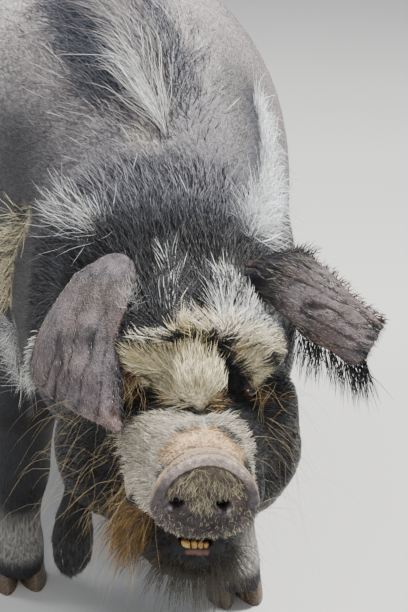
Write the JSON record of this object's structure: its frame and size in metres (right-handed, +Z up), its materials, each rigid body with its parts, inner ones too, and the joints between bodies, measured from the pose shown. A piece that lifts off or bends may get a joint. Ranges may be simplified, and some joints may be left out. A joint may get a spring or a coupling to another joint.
{
  "type": "domestic pig",
  "caption": "Life-size, still model of a short-legged, hairy domestic pig standing with its head lowered: upturned snout, drooping ears, a jaw tassel, crest and a curled tail.",
  "frame": {"origin": "on the ground, under the middle of the pig's outline", "axes": "+Z up; the pig faces -Y, its left side is +X, and its tail is at +Y"},
  "size_m": [0.5048, 1.2918, 0.6763],
  "materials": {
    "coat_grey": "short, sleek, grizzled hair",
    "coat_black": "black hair, long on the head",
    "ear_skin": "dark skin under thin hair",
    "snout_skin": "moist bare skin",
    "eye": "wet and clear over a dark iris",
    "hoof": "dull horn"
  },
  "bodies": {
    "root": {"torso": "coat_grey", "neck": "coat_grey", "head": "coat_black", "snout": "snout_skin", "ear_left": "ear_skin", "ear_right": "ear_skin", "eye_left": "eye", "eye_right": "eye", "wattle_right": "ear_skin", "tail": "coat_grey", "foreleg_left": "coat_black", "foreleg_right": "coat_black", "hindleg_left": "coat_black", "hindleg_right": "coat_black", "claw_foreleg_left_outer": "hoof", "claw_foreleg_left_inner": "hoof", "claw_foreleg_right_outer": "hoof", "claw_foreleg_right_inner": "hoof", "claw_hindleg_left_outer": "hoof", "claw_hindleg_left_inner": "hoof", "claw_hindleg_right_outer": "hoof", "claw_hindleg_right_inner": "hoof"}
  },
  "joints": []
}
